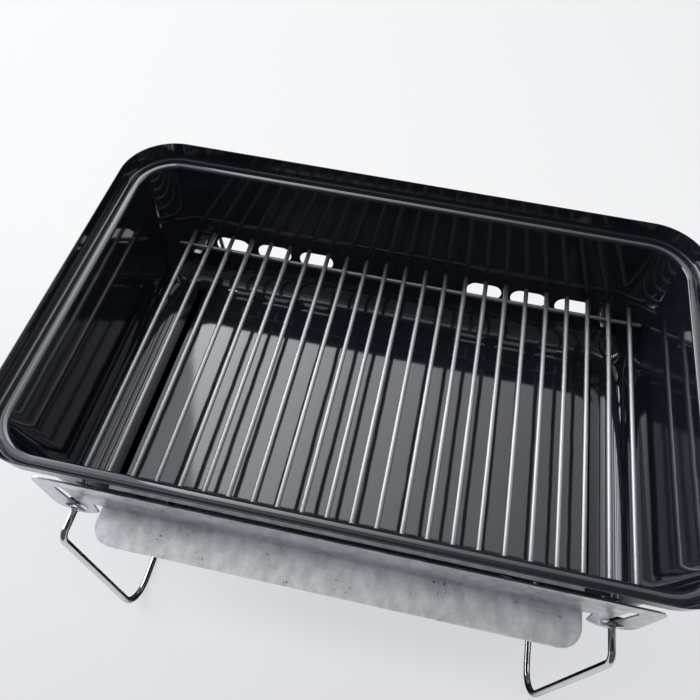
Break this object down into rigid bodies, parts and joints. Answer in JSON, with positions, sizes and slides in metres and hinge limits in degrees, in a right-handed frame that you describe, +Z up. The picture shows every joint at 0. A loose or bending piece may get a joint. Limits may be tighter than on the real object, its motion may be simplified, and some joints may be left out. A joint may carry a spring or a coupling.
{
  "type": "portable charcoal grill",
  "caption": "Rectangular black enamelled charcoal grill bowl with a rod charcoal grate inside, side rails and folding wire legs, shown open.",
  "frame": {"origin": "on the floor, below the middle of the bowl", "axes": "+X along the length of the bowl, +Y towards the rear, +Z up"},
  "size_m": [0.4428, 0.3124, 0.2349],
  "materials": {
    "black_enamel": "glossy black porcelain enamel with a slight blue cast",
    "aluminised_sheet": "aluminised steel sheet, faint spangle and rolling marks",
    "chromed_wire": "bright plated wire",
    "plated_rod": "satin plated steel rod with fine lengthwise drawing marks",
    "bracket_steel": "plated steel strip"
  },
  "bodies": {
    "bowl_frame": {"bowl": "black_enamel", "front_rail": "aluminised_sheet", "rear_rail": "aluminised_sheet", "rail_bracket_front_left": "black_enamel", "rail_bracket_front_right": "black_enamel", "rail_bracket_rear_left": "black_enamel", "rail_bracket_rear_right": "black_enamel", "grate_rest_front_left": "bracket_steel", "grate_rest_front_right": "bracket_steel", "grate_rest_rear_left": "bracket_steel", "grate_rest_rear_right": "bracket_steel"},
    "left_leg": {"left_leg": "chromed_wire"},
    "right_leg": {"right_leg": "chromed_wire"},
    "charcoal_grate": {"grate_rod_01": "plated_rod", "grate_rod_02": "plated_rod", "grate_rod_03": "plated_rod", "grate_rod_04": "plated_rod", "grate_rod_05": "plated_rod", "grate_rod_06": "plated_rod", "grate_rod_07": "plated_rod", "grate_rod_08": "plated_rod", "grate_rod_09": "plated_rod", "grate_rod_10": "plated_rod", "grate_rod_11": "plated_rod", "grate_rod_12": "plated_rod", "grate_rod_13": "plated_rod", "grate_rod_14": "plated_rod", "grate_rod_15": "plated_rod", "grate_rod_16": "plated_rod", "grate_rod_17": "plated_rod", "grate_rod_18": "plated_rod", "grate_rod_19": "plated_rod", "grate_rod_20": "plated_rod", "grate_rod_21": "plated_rod", "grate_rod_22": "plated_rod", "grate_rod_23": "plated_rod", "grate_cross_rod_front": "plated_rod", "grate_cross_rod_rear": "plated_rod"}
  },
  "joints": [
    {"name": "left_leg_fold", "type": "hinge", "parent": "bowl_frame", "child": "left_leg", "pos_m": [-0.1756, 0, 0.1528], "axis": [0, 1, 0], "range_deg": [0, 195]},
    {"name": "right_leg_fold", "type": "hinge", "parent": "bowl_frame", "child": "right_leg", "pos_m": [0.1756, 0, 0.1528], "axis": [0, -1, 0], "range_deg": [0, 195]},
    {"name": "grate_lift", "type": "slide", "parent": "bowl_frame", "child": "charcoal_grate", "axis": [0, 0, 1], "range_m": [0, 0.12]}
  ]
}
